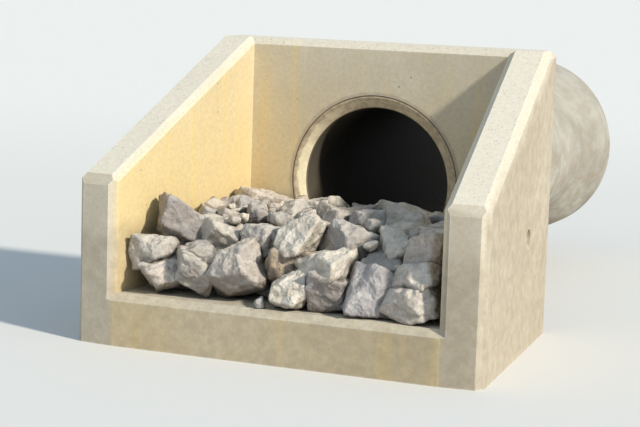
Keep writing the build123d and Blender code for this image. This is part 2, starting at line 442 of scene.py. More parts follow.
@dataclass(frozen=True)
class CastConcrete:
    """Off-form concrete of the casting: cream, cloudy, with air holes, rubbed arrises and stains, painted
    warm light inside the channel and painted shade on the right wing's end.
    """

    effects: Effects
    sizes: "Casting"
    pale: Colour = (0.73, 0.655, 0.53)
    deep: Colour = (0.61, 0.535, 0.41)
    # Warm colour of the stains, and of the painted warm light on the faces in the channel
    warm_stain_and_light: Colour = (0.80, 0.62, 0.30)
    floated: Colour = (0.90, 0.83, 0.70)
    rubbed: Colour = (0.90, 0.85, 0.73)
    # Soil on the buried faces, also used as painted shade on the right wing's end
    soil_and_shade: Colour = (0.27, 0.215, 0.15)
    hole: Colour = (0.20, 0.17, 0.13)
    joint_dirt: Colour = (0.34, 0.26, 0.18)
    bank_line: float = 0.80
    bank_fall: float = 0.47
    stone_line: float = 0.335
    band_width: float = 0.013

    def material(self) -> Material:
        """Build the finish.

        Returns:
            The material.
        """
        material, wire, shader = new_material("cast_concrete")
        normal = wire.parts(wire.add("NewGeometry").outputs["Normal"])
        top = wire.span(normal[2], 0.55, 0.8)
        beyond = self.beyond_wing(wire)
        grain = wire.effect(self.effects.grain, Size=0.0035, Specks=0.16)
        pits = wire.effect(self.effects.pits, Spacing=0.034, Radius=0.0042, Share=0.3)
        arris = wire.mask(self.effects.arris, Radius=0.007, Breakup=0.55)
        dirt = self.dirt(wire, beyond)

        colour = self.cement(wire)
        # Warm tint: partly real water streaks, partly painted warm sunlight and bounce light
        colour = wire.tint(colour, self.warm_stain_and_light, self.stains_and_painted_warm_light(wire, beyond, normal[0]))
        colour = wire.tint(colour, self.floated, top, 0.8)
        colour = self.speckled(wire, colour, grain, top)
        colour = wire.tint(colour, self.rubbed, arris, 0.55)
        colour = wire.tint(colour, self.joint_dirt, self.joint_band(wire))
        colour = wire.tint(colour, self.soil_and_shade, dirt)
        colour = wire.tint(colour, self.hole, pits.outputs["Mask"], 0.75)

        rough = wire.plus(wire.times(grain.outputs["Tone"], 0.14), 0.78)
        rough = wire.math("ADD", rough, wire.times(dirt, 0.08), clamp=True)
        waves = wire.times(wire.cloud(wire.place(), 6.0, detail=2.0), 2.2)
        height = wire.plus(wire.times(grain.outputs["Height"], 0.6), pits.outputs["Height"], waves)
        coat(wire, shader, colour, rough, wire.relief(height, 0.55, 0.0022), gloss=0.35)
        return material

    def beyond_wing(self, wire: Wiring) -> Socket:
        """Find how far a point lies outside the inner face of its wing.

        Args:
            wire: The material's wiring.

        Returns:
            The distance in metres, below zero in the channel.
        """
        x, y, _ = wire.parts(wire.place())
        face = wire.plus(wire.times(y, -math.tan(self.sizes.splay)), self.sizes.half_width)
        return wire.minus(wire.math("ABSOLUTE", x), face)

    def cement(self, wire: Wiring) -> Socket:
        """Mix the clean concrete's cloudy colour, with painted shade darkening the right wing's end face.

        Args:
            wire: The material's wiring.

        Returns:
            The colour.
        """
        broad = wire.mask(self.effects.blotches, Size=0.32, Contrast=0.16)
        patch = wire.mask(self.effects.blotches, Size=0.055, Contrast=0.18)
        colour = wire.tint(self.pale, self.deep, broad, 0.75)
        colour = wire.tint(colour, self.deep, patch, 0.28)
        x, y, _ = wire.parts(wire.place())
        # Painted shade on the right wing's end face, laid in the soil colour
        end = wire.span(y, 0.02 - self.sizes.wing_length, 0.01 - self.sizes.wing_length)
        return wire.tint(colour, self.soil_and_shade, end, wire.span(x, 0.0, 0.4, 0.0, 0.32))

    def stains_and_painted_warm_light(self, wire: Wiring, beyond: Socket, sideways: Socket) -> Socket:
        """Find the strength of the warm water stains, and of the painted warm light, on the faces that look
        into the channel.

        Args:
            wire: The material's wiring.
            beyond: How far the point lies outside its wing's inner face.
            sideways: The normal's share along the wall.

        Returns:
            The strength: painted warm sunlight most on the wings, painted warm bounce light low down and in
                the left corner, and streaks of stain.
        """
        x, y, z = wire.parts(wire.place())
        inside = wire.times(wire.span(beyond, 0.012, 0.004), wire.span(y, 0.02, 0.004))
        runs = wire.mask(self.effects.runs, Width=0.05, Length=0.55)
        # low, corner and wing paint warm light: bounce light from the sunlit left wing low down and in the
        # left corner, and warm sunlight on the wings' inner faces; runs are real water streaks
        low = wire.span(z, 0.80, 0.42)
        wing = wire.span(wire.math("ABSOLUTE", sideways), 0.6, 0.9)
        corner = wire.span(x, -self.sizes.half_width * 0.45, -self.sizes.half_width * 0.95)
        share = 0.08
        for mask, strength in ((wing, 0.26), (low, 0.26), (runs, 0.38), (corner, 0.24)):
            share = wire.plus(wire.times(mask, strength), share)
        return wire.math("MULTIPLY", share, inside, clamp=True)

    def speckled(self, wire: Wiring, colour: Socket, grain: Node, top: Socket) -> Socket:
        """Darken a colour by its grain and its specks, which show most on the floated tops.

        Args:
            wire: The material's wiring.
            colour: The colour before.
            grain: The grain's node.
            top: 1 on a face that looks up.

        Returns:
            The darker colour.
        """
        colour = wire.tint(colour, self.hole, wire.rest(grain.outputs["Tone"]), 0.17)
        strength = wire.plus(wire.times(top, 0.3), 0.12)
        return wire.tint(colour, self.hole, grain.outputs["Speck"], strength)

    def joint_band(self, wire: Wiring) -> Socket:
        """Find the strength of the dirty band on the wall's face round the mortar joint.

        Args:
            wire: The material's wiring.

        Returns:
            The strength, with an uneven outer edge.
        """
        _, y, _ = wire.parts(wire.place())
        outside = wire.minus(wire.from_axis(self.sizes.axis_height), self.sizes.opening)
        band = wire.span(wire.plus(outside, wire.ragged(32.0, 0.02)), self.band_width, 0.003)
        return wire.times(band, wire.span(y, 0.02, 0.012), 0.5)

    def dirt(self, wire: Wiring, beyond: Socket) -> Socket:
        """Find the strength of the soil on the buried outer faces, and on all that the stones hid.

        Args:
            wire: The material's wiring.
            beyond: How far the point lies outside its wing's inner face.

        Returns:
            The strength, uneven and fading out above each line.
        """
        _, y, _ = wire.parts(wire.place())
        ground = self.effects.ground
        bank = wire.mask(ground, Line=self.bank_line, Fall=self.bank_fall, Fade=0.07, Ragged=0.12)
        hidden = wire.mask(ground, Line=self.stone_line, Fall=0.0, Fade=0.09, Ragged=0.14)
        thickness = self.sizes.wing_thickness
        outer = wire.span(beyond, thickness * 0.86, thickness * 0.97)
        buried = wire.times(wire.most(outer, wire.span(y, 0.10, 0.122)), bank)
        both = wire.most(wire.times(buried, 0.5), wire.times(hidden, 0.42))
        clots = wire.mask(self.effects.blotches, Size=0.035, Contrast=0.2)
        return wire.math("MULTIPLY", both, wire.plus(wire.times(clots, 0.55), 0.62), clamp=True)


@dataclass(frozen=True)
class SpunConcrete:
    """Grey spun pipe: trowel rings outside, and inside a near-black damp film of painted shade that deepens
    upstream.
    """

    effects: Effects
    sizes: "PipeRun"
    pale: Colour = (0.50, 0.475, 0.42)
    deep: Colour = (0.35, 0.33, 0.285)
    skin: Colour = (0.62, 0.59, 0.53)
    damp_and_shade: Colour = (0.014, 0.012, 0.008)
    silt_and_shade: Colour = (0.30, 0.24, 0.165)
    damp_and_shade_reach: float = 0.32

    def material(self) -> Material:
        """Build the finish.

        Returns:
            The material.
        """
        material, wire, shader = new_material("pipe_concrete")
        bore = self.sizes.bore
        place = wire.place()
        _, y, z = wire.parts(place)
        rise = wire.minus(z, self.sizes.axis_height)
        radius = wire.from_axis(self.sizes.axis_height)
        broad = wire.mask(self.effects.blotches, Size=0.22, Contrast=0.18)
        colour = wire.tint(self.pale, self.deep, broad)
        rings = wire.cloud(wire.stretch(place, (2.0, 60.0, 2.0)), 1.0, detail=2.0)
        colour = wire.tint(colour, self.deep, wire.span(rings, 0.42, 0.62), 0.22)
        grain = wire.effect(self.effects.grain, Size=0.003, Specks=0.12)
        colour = wire.tint(colour, self.skin, grain.outputs["Tone"], 0.15)

        # Soil film outside, thickest underneath
        outside = wire.math("GREATER_THAN", radius, bore + self.sizes.wall / 2)
        clots = wire.mask(self.effects.blotches, Size=0.06, Contrast=0.14)
        under = wire.span(rise, 0.30, -0.25, 0.25, 0.6)
        colour = wire.tint(colour, self.silt_and_shade, outside, clots, under)

        # Damp film inside, with painted shade making it near black and darker upstream, with a silt line
        # along the bottom
        inside = wire.rest(wire.math("GREATER_THAN", radius, bore * 1.01))
        wander = wire.ragged(7.0, 0.16)
        colour = wire.tint(colour, self.silt_and_shade, inside, 0.7)
        # Painted shade: the bore darkens to near black upstream, standing in for the pipe's unlit depth
        wet_and_shaded = wire.times(inside, wire.span(wire.plus(y, wander), 0.0, self.damp_and_shade_reach, 0.72, 1.0))
        colour = wire.tint(colour, self.damp_and_shade, wet_and_shaded)
        bottom = wire.span(wire.plus(rise, wander), -bore * 0.72, -bore * 0.95)
        colour = wire.tint(colour, self.silt_and_shade, inside, bottom, 0.5)

        pits = wire.effect(self.effects.pits, Spacing=0.02, Radius=0.003, Share=0.35)
        height = wire.plus(wire.times(grain.outputs["Height"], 0.7), pits.outputs["Height"], rings)
        rough = wire.span(wet_and_shaded, 0.0, 1.0, 0.88, 0.62)
        coat(wire, shader, colour, rough, wire.relief(height, 0.5, 0.002), gloss=0.05)
        return material


@dataclass(frozen=True)
class Mortar:
    """Struck cement mortar, sandy and a little uneven."""

    effects: Effects
    name: str
    pale: Colour
    deep: Colour
    speck: Colour = (0.22, 0.19, 0.15)

    def material(self) -> Material:
        """Build the finish.

        Returns:
            The material.
        """
        material, wire, shader = new_material(self.name)
        grain = wire.effect(self.effects.grain, Size=0.0022, Specks=0.3)
        colour = wire.tint(self.pale, self.deep, wire.mask(self.effects.blotches, Size=0.07, Contrast=0.15))
        colour = wire.tint(colour, self.deep, grain.outputs["Tone"], 0.3)
        colour = self.weathered_and_shaded(wire, colour)
        colour = wire.tint(colour, self.speck, grain.outputs["Speck"], 0.3)
        rough = wire.span(grain.outputs["Tone"], 0.0, 1.0, 0.82, 0.96)
        strokes = wire.cloud(wire.place(), 24.0, detail=3.0)
        height = wire.plus(grain.outputs["Height"], wire.times(strokes, 2.5))
        coat(wire, shader, colour, rough, wire.relief(height, 0.6, 0.002), gloss=0.3)
        return material

    def weathered_and_shaded(self, wire: Wiring, colour: Socket) -> Socket:
        """Return the colour with its dirt and painted shade, which a hidden joint has none of."""
        return colour


@dataclass(frozen=True, kw_only=True)
class CollarMortar(Mortar):
    """Mortar of the struck collar: pale low on the left, brown over its top and right side as painted
    shade, a brown band along its edge, and painted shade in its bore.
    """

    sizes: "PipeRun"
    brown: Colour = (0.38, 0.29, 0.20)
    # Dark damp film, also painted shade in the collar's bore
    damp_and_shade: Colour = (0.10, 0.08, 0.052)
    brown_width: float = 0.014

    def weathered_and_shaded(self, wire: Wiring, colour: Socket) -> Socket:
        """Lay painted shade in brown over the collar's top and right side, a brown band along its outer
        edge, and a damp film of painted shade in the collar's bore.

        Args:
            wire: The material's wiring.
            colour: The clean mortar's colour.

        Returns:
            The colour with all of these over it.
        """
        x, _, z = wire.parts(wire.place())
        radius = wire.from_axis(self.sizes.axis_height)
        start = self.sizes.collar - self.brown_width
        edge = wire.span(wire.plus(radius, wire.ragged(26.0, 0.022)), start - 0.003, start + 0.004)
        # Painted shade: the collar's top and right side are browned where it faces down and lies in the
        # right wing's shadow
        rise = wire.plus(wire.minus(z, self.sizes.axis_height), wire.times(x, 0.8), wire.ragged(26.0, 0.3))
        top_right_shade = wire.span(rise, -0.17, 0.12, 0.0, 0.8)
        blotches = wire.mask(self.effects.blotches, Size=0.02, Contrast=0.12)
        strength = wire.plus(wire.times(blotches, 0.35), 0.6)
        colour = wire.tint(colour, self.brown, wire.most(edge, top_right_shade), strength)
        # Painted shade in the collar's bore, laid as a dark damp film
        bore = wire.span(radius, self.sizes.bore + 0.003, self.sizes.bore + 0.001, 0.0, 0.9)
        return wire.tint(colour, self.damp_and_shade, bore)


@dataclass(frozen=True)
class GalvanisedSteel:
    """Dull zinc on forged steel, with rust coming through."""

    effects: Effects
    zinc: Colour = (0.52, 0.53, 0.53)
    bloom: Colour = (0.36, 0.37, 0.37)
    rust: Colour = (0.25, 0.105, 0.04)

    def material(self) -> Material:
        """Build the finish.

        Returns:
            The material.
        """
        material, wire, shader = new_material("anchor_steel")
        dull = wire.mask(self.effects.blotches, Size=0.006, Contrast=0.2)
        rusty = wire.mask(self.effects.blotches, Size=0.011, Contrast=0.07)
        colour = wire.tint(self.zinc, self.bloom, dull, 0.5)
        colour = wire.tint(colour, self.rust, rusty)
        wire.feed(shader.inputs["Metallic"], wire.rest(rusty))
        rough = wire.span(rusty, 0.0, 1.0, 0.5, 0.9)
        grain = wire.effect(self.effects.grain, Size=0.0012, Specks=0.0)
        coat(wire, shader, colour, rough, wire.relief(grain.outputs["Height"], 0.4, 0.0004))
        return material


@dataclass(frozen=True)
class BrokenStone:
    """Quarried stone in mixed colours, each stone with its own tone, dust on top, and painted shade in
    hollows, on undersides and on the hearting.
    """

    effects: Effects
    kinds: tuple[tuple[float, Colour], ...] = (
        (0.0, (0.66, 0.60, 0.53)),
        (0.28, (0.79, 0.72, 0.62)),
        (0.46, (0.50, 0.47, 0.45)),
        (0.64, (0.30, 0.285, 0.30)),
        (0.73, (0.70, 0.62, 0.55)),
        (0.86, (0.41, 0.385, 0.39)),
        (0.96, (0.58, 0.45, 0.32)),
    )
    patch: Colour = (0.22, 0.21, 0.21)
    vein: Colour = (0.70, 0.68, 0.64)
    stain: Colour = (0.48, 0.34, 0.20)
    shade: Colour = (0.16, 0.155, 0.15)
    fresh: Colour = (0.74, 0.71, 0.66)
    dust: Colour = (0.78, 0.71, 0.61)
    # Silt colour, used as painted shade in hollows, on undersides and on the hearting
    silt_and_shade: Colour = (0.12, 0.105, 0.085)
    hollow: float = 0.05

    def material(self) -> Material:
        """Build the finish.

        Returns:
            The material.
        """
        material, wire, shader = new_material("broken_stone")
        drawn = wire.add("Attribute", attribute_name=DRAWN).outputs["Vector"]
        kind, tone, rusty = wire.parts(drawn)
        grain = wire.effect(self.effects.grain, Size=0.005, Specks=0.0)
        patches = wire.mask(self.effects.blotches, Size=0.045, Contrast=0.2)
        colour = wire.ramp(kind, self.kinds)
        lighter = wire.span(tone, 0.0, 1.0, 0.85, 1.25)
        light = wire.add("CombineColor", {0: lighter, 1: lighter, 2: lighter}).outputs[0]
        colour = wire.mix(1.0, colour, light, blend="MULTIPLY")
        colour = wire.tint(colour, self.patch, patches, 0.3)
        veins = wire.cloud(wire.stretch(wire.place(), (14.0, 14.0, 40.0)), 1.0, detail=6.0, roughness=0.65)
        colour = wire.tint(colour, self.vein, wire.span(veins, 0.58, 0.66), 0.3)
        rust = wire.mask(self.effects.blotches, Size=0.09, Contrast=0.06)
        colour = wire.tint(colour, self.stain, rust, rusty, 0.3)
        colour = wire.tint(colour, self.shade, wire.rest(grain.outputs["Tone"]), 0.35)
        colour = self.weathered_and_shaded(wire, colour, patches)

        rough = wire.span(grain.outputs["Tone"], 0.0, 1.0, 0.78, 0.95)
        chips = wire.mask(self.effects.chips, Size=0.034)
        flakes = wire.times(wire.mask(self.effects.chips, Size=0.012), 0.3)
        height = wire.plus(wire.times(grain.outputs["Height"], 0.12), chips, flakes)
        coat(wire, shader, colour, rough, wire.relief(height, 0.85, 0.014), gloss=0.3)
        return material

    def weathered_and_shaded(self, wire: Wiring, colour: Socket, patches: Socket) -> Socket:
        """Lay dust on the tops, rub the arrises, and paint shade in the silt colour on the undersides, in
        hollows and on the hearting low in the bed.

        Args:
            wire: The material's wiring.
            colour: The clean stone's colour.
            patches: Where dust lies thinner.

        Returns:
            The weathered colour.
        """
        upright = wire.parts(wire.add("NewGeometry").outputs["Normal"])[2]
        lying = wire.span(upright, 0.1, 0.95, 0.0, 0.38)
        colour = wire.tint(colour, self.dust, lying, wire.span(patches, 0.0, 1.0, 1.0, 0.45))
        arris = wire.mask(self.effects.arris, Radius=0.006, Breakup=0.6)
        colour = wire.tint(colour, self.fresh, arris, 0.45)
        # Painted shade: darker in hollows by ambient occlusion, and on undersides
        open_air = wire.add("AmbientOcclusion", {"Distance": self.hollow}, samples=8).outputs["AO"]
        under = wire.span(upright, 0.0, -0.7, 0.0, 0.55)
        under = wire.most(under, wire.span(open_air, 0.72, 0.2, 0.0, 0.9))
        # Painted shade on the stones whose course asks for it, most on the hearting
        silted_and_shaded = wire.times(wire.add("Attribute", attribute_name=SILT_AND_SHADE).outputs["Fac"], 0.9)
        return wire.tint(colour, self.silt_and_shade, wire.most(under, silted_and_shaded))


# Pieces

def mesh_object(name: str, points: np.ndarray, faces: np.ndarray) -> Object:
    """Make a smooth-shaded mesh object from points and triangles.

    Args:
        name: The piece's name.
        points: One row of three coordinates for each vertex.
        faces: One row of three vertex numbers for each triangle.

    Returns:
        The object, linked to the scene.
    """
    mesh = bpy.data.meshes.new(name)
    mesh.from_pydata(points.tolist(), [], faces.tolist())
    mesh.update()
    mesh.polygons.foreach_set("use_smooth", np.ones(len(faces), bool))
    piece = bpy.data.objects.new(name, mesh)
    bpy.context.scene.collection.objects.link(piece)
    return piece


def round_mesh(levels: int) -> tuple[np.ndarray, np.ndarray]:
    """Make a unit ball's even mesh.

    Args:
        levels: How many times the twenty-sided start is divided, plus one.

    Returns:
        Its points and its triangles.
    """
    shell = bmesh.new()
    bmesh.ops.create_icosphere(shell, subdivisions=levels, radius=1.0)
    points = np.array([v.co for v in shell.verts])
    faces = np.array([[v.index for v in face.verts] for face in shell.faces])
    shell.free()
    return points, faces


@dataclass(frozen=True)
class Stone:
    """One shaped stone about its own middle."""

    points: np.ndarray
    faces: np.ndarray
    draw: Colour


class Grade(Enum):
    """The sizes of loose stone in the bed, each with its middle size in metres."""

    MEDIUM = 0.11
    SMALL = 0.068
    CHIP = 0.038


@dataclass(frozen=True)
class Seat:
    """Where a set stone lies, how it is turned, and its three sides, all as in the solid bed."""

    row: int
    middle: Vector
    turn: Matrix
    sides: tuple[float, float, float]


class Use(IntEnum):
    """What a stone's wander decides, each by its number in the rule."""

    SIZE = 1
    WIDTH = 2
    HEIGHT = 3
    LEAN_X = 6
    LEAN_Y = 7
    TURN = 8
    ACROSS = 9
    ALONG = 10
    RISE = 11


@dataclass(frozen=True)
class Pattern:
    """The rule that the solid bed lays its stones by, in metres and degrees, so that both share a form."""

    slab_top: float
    length: float
    half_width: float
    splay: float
    cover_rows: int = 5
    slope_rows: int = 2
    columns: int = 7
    back_inset: float = 0.068
    front_inset: float = 0.196
    foot_inset: float = 0.070
    side_inset: float = 0.064
    foot_rise: float = 0.048
    cover_rise: float = 0.170
    rise_spread: float = 0.016
    stagger: float = 0.016
    drift: float = 0.016
    size: float = 0.138
    size_spread: float = 0.15
    width_share: float = 0.88
    height_share: float = 0.72
    share_spread: float = 0.08
    tilt: float = 16.0
    turn: float = 90.0

    @staticmethod
    def wander(row: int, column: int, use: Use) -> float:
        """Return a number from -1 to 1 that differs from stone to stone and from use to use."""
        return math.sin(4.7 * row + 2.9 * column + 1.9 * use + 1.3 * row * column)

    def seats(self) -> list[Seat]:
        """Lay out the cover row after row, and then the rows down the slope in front.

        Returns:
            Every seat.
        """
        span = self.length - self.front_inset - self.back_inset
        gaps = self.cover_rows - 1
        rows = [(self.back_inset + span * row / gaps, self.cover_rise) for row in range(self.cover_rows)]
        for row in range(self.slope_rows):
            share = (row + 1) / self.slope_rows
            depth = self.length - self.front_inset + (self.front_inset - self.foot_inset) * share
            rows.append((depth, self.cover_rise + (self.foot_rise - self.cover_rise) * share))
        places = [(row, column) for row in range(len(rows)) for column in range(self.columns)]
        return [self.seat(row, column, *rows[row]) for row, column in places]

    def seat(self, row: int, column: int, depth: float, rise: float) -> Seat:
        """Work out one seat.

        Args:
            row: Its row, from the wall.
            column: Its column, from the left.
            depth: The row's distance in front of the wall.
            rise: The height of the row's middles above the slab.

        Returns:
            The seat.
        """
        reach = self.half_width + depth * math.sin(self.splay) - self.side_inset
        across = reach * (2 * column / (self.columns - 1) - 1) + self.stagger * (-1) ** row
        wander = partial(self.wander, row, column)
        x = across + self.drift * wander(Use.ACROSS)
        y = self.drift * wander(Use.ALONG) - depth
        z = self.slab_top + rise + self.rise_spread * wander(Use.RISE)
        size = self.size * (1 + self.size_spread * wander(Use.SIZE))
        width = size * (self.width_share + self.share_spread * wander(Use.WIDTH))
        height = size * (self.height_share + self.share_spread * wander(Use.HEIGHT))
        turn = Matrix.Identity(3)
        leans = (("X", Use.LEAN_X, self.tilt), ("Y", Use.LEAN_Y, self.tilt), ("Z", Use.TURN, self.turn))
        for axis, use, most in leans:
            turn = turn @ Matrix.Rotation(math.radians(most * wander(use)), 3, axis)
        return Seat(row, Vector((x, y, z)), turn, (size, width, height))


@dataclass(frozen=True)
class Course:
    """Loose stones of one grade laid one after another.

    Attributes:
        name: The name of their piece.
        grade: Their size.
        count: How many are tried.
        levels: How fine their meshes are.
        widest_gap: The mean hollow allowed under a stone, as a share of its size.
        front_top: How high above the slab they may reach at the front edge.
        top: How high they may reach behind the front slope.
        last: True where no later stone may lie on them, so that they stay in the hollows.
        silt_and_shade: How much of their colour is hidden under painted shade in the silt colour.
    """

    name: str
    grade: Grade
    count: int
    levels: int
    widest_gap: float
    front_top: float
    top: float
    last: bool = False
    silt_and_shade: float = 0.0


@dataclass
class StoneMaker:
    """Shapes broken stones as the part of a ball that many flat cuts leave, with steps and rough faces."""

    dice: random.Random
    sharpness: float = 44.0
    skew: float = 0.34
    side_reach: tuple[float, float] = (0.9, 1.04)
    corner_cuts: tuple[int, int] = (6, 10)
    corner_reach: tuple[float, float] = (0.58, 0.76)
    width_share: tuple[float, float] = (0.7, 0.95)
    height_share: tuple[float, float] = (0.56, 0.82)
    lean: float = math.radians(30)
    swell: float = 0.05
    swell_scale: float = 1.7
    ledge: float = 0.035
    ledge_scale: float = 2.3
    ledge_steepness: float = 9.0
    rough: float = 0.03
    rough_scale: float = 34.0
    noise_reach: float = 50.0

    def cuts(self, half_sides: tuple[float, float, float]) -> tuple[np.ndarray, np.ndarray]:
        """Draw the directions and distances of a stone's flat faces.

        Args:
            half_sides: Half of the stone's three sides.

        Returns:
            Unit directions, one row each, and the distance of each face from the middle.
        """
        directions = []
        distances = []
        for axis, reach in enumerate(half_sides):
            for sign in (-1.0, 1.0):
                direction = [self.dice.uniform(-self.skew, self.skew) for _ in range(3)]
                direction[axis] = sign
                directions.append(direction)
                distances.append(reach * self.dice.uniform(*self.side_reach))
        for _ in range(self.dice.randint(*self.corner_cuts)):
            direction = [self.dice.gauss(0.0, 1.0) for _ in range(3)]
            unit = np.array(direction) / np.linalg.norm(direction)
            directions.append(direction)
            corner = float(np.abs(unit) @ np.array(half_sides))
            distances.append(corner * self.dice.uniform(*self.corner_reach))
        rows = np.array(directions)
        return rows / np.linalg.norm(rows, axis=1)[:, None], np.array(distances)

    def shape(self, sides: tuple[float, float, float], levels: int) -> Stone:
        """Make one stone about its own middle, not turned.

        Args:
            sides: Its three sides in metres, about.
            levels: How fine its mesh is.

        Returns:
            The stone.
        """
        ball, faces = round_mesh(levels)
        size = max(sides)
        directions, distances = self.cuts(tuple(side / 2 for side in sides))
        facing = np.maximum(ball @ directions.T, 0.0) / distances
        radius = np.sum(facing ** self.sharpness, axis=1) ** (-1.0 / self.sharpness)
        offset = Vector([self.dice.uniform(-self.noise_reach, self.noise_reach) for _ in range(3)])
        relief = np.array([self.relief(Vector(p) + offset, size) for p in ball])
        points = ball * (radius * (1.0 + relief))[:, None]
        return Stone(points, faces, (self.dice.random(), self.dice.random(), self.dice.random()))

    def loose(self, size: float, levels: int) -> Stone:
        """Make one stone of random proportions that leans at random.

        Args:
            size: Its longest side in metres.
            levels: How fine its mesh is.

        Returns:
            The stone.
        """
        width = size * self.dice.uniform(*self.width_share)
        height = size * self.dice.uniform(*self.height_share)
        stone = self.shape((size, width, height), levels)
        roll, pitch = [self.dice.uniform(-self.lean, self.lean) for _ in range(2)]
        turn = Euler((roll, pitch, 0.0)).to_matrix()
        return Stone(stone.points @ np.array(turn).T, stone.faces, stone.draw)

    def fitted(self, seat: Seat, channel: "Channel", levels: int) -> Stone:
        """Make the stone of a seat, pushed clear of the wall and the wings.

        Args:
            seat: Where it lies, how it is turned, and its sides.
            channel: The space that it has to stay in.
            levels: How fine its mesh is.

        Returns:
            The stone in its place.
        """
        stone = self.shape(seat.sides, levels)
        points = stone.points @ np.array(seat.turn).T + np.array(seat.middle)
        return Stone(channel.push_in(points), stone.faces, stone.draw)

    def relief(self, point: Vector, size: float) -> float:
        """Find how far the surface stands out or lies back at a point.

        Args:
            point: The direction from the stone's middle, shifted to the stone's own part of the noise.
            size: The stone's longest side.

        Returns:
            The height as a share of the stone's radius.
        """
        swell = noise.noise(point * self.swell_scale)
        ledge = math.tanh(self.ledge_steepness * noise.noise(point * self.ledge_scale + LEDGE_SHIFT))
        rough = noise.fractal(point * size * self.rough_scale, *ROUGH_OCTAVES)
        return self.swell * swell + self.ledge * ledge + self.rough * rough


@dataclass
class Channel:
    """The space between the wings that the stones lie in, as a grid of heights."""

    floor: float
    length: float
    half_width: float
    splay_tangent: float
    cell: float = 0.007
    clearance: float = 0.004
    closed_height: float = 10.0

    def __post_init__(self) -> None:
        """Lay out the grid with the slab's top as its first surface."""
        self.reach = self.half_width + self.length * self.splay_tangent
        columns = int(2 * self.reach / self.cell) + 1
        rows = int(self.length / self.cell) + 1
        self.heights = np.full((columns, rows), self.floor)

    def limit(self, depth: np.ndarray) -> np.ndarray:
        """Return how far from the middle a wing's inner face is, at each depth in front of the wall."""
        return self.half_width + depth * self.splay_tangent - self.clearance

    def fits(self, points: np.ndarray) -> bool:
        """Say whether every point is clear of the wall, the wings and the slab's front edge.

        Args:
            points: A stone's points.

        Returns:
            True where they all are.
        """
        depth = -points[:, 1]
        if depth.min() < self.clearance or depth.max() > self.length - self.clearance:
            return False
        return bool(np.all(np.abs(points[:, 0]) < self.limit(depth)))

    def push_in(self, points: np.ndarray) -> np.ndarray:
        """Move a stone by the least that clears the wings, the wall, the slab and its front edge.

        Args:
            points: The stone's points.

        Returns:
            The moved points.
        """
        depth = -points[:, 1]
        back = min(0.0, depth.min() - self.clearance)
        front = max(0.0, depth.max() - self.length + self.clearance)
        limit = self.limit(depth)
        right = max(0.0, (points[:, 0] - limit).max())
        left = max(0.0, (-points[:, 0] - limit).max())
        low = max(0.0, self.floor - points[:, 2].min())
        return points + np.array((left - right, front + back, low))

    def cells(self, points: np.ndarray) -> tuple[np.ndarray, np.ndarray]:
        """Return the grid column and row under each point."""
        columns = (points[:, 0] + self.reach) / self.cell
        return columns.astype(int), (-points[:, 1] / self.cell).astype(int)

    def rest(self, points: np.ndarray) -> tuple[float, float]:
        """Find the lift that lays a stone on the surface.

        Args:
            points: The stone's points.

        Returns:
            The lift, and the mean gap that stays under the stone.
        """
        columns, rows = self.cells(points)
        lifts = self.heights[columns, rows] - points[:, 2]
        under = points[:, 2] < np.median(points[:, 2])
        return float(lifts.max()), float(lifts.max() - lifts[under].mean())

    def cover(self, points: np.ndarray) -> None:
        """Raise the surface to the points' own heights."""
        np.maximum.at(self.heights, self.cells(points), points[:, 2])

    def close(self, points: np.ndarray) -> None:
        """Keep every later stone off the cells under the points."""
        self.heights[self.cells(points)] = self.closed_height


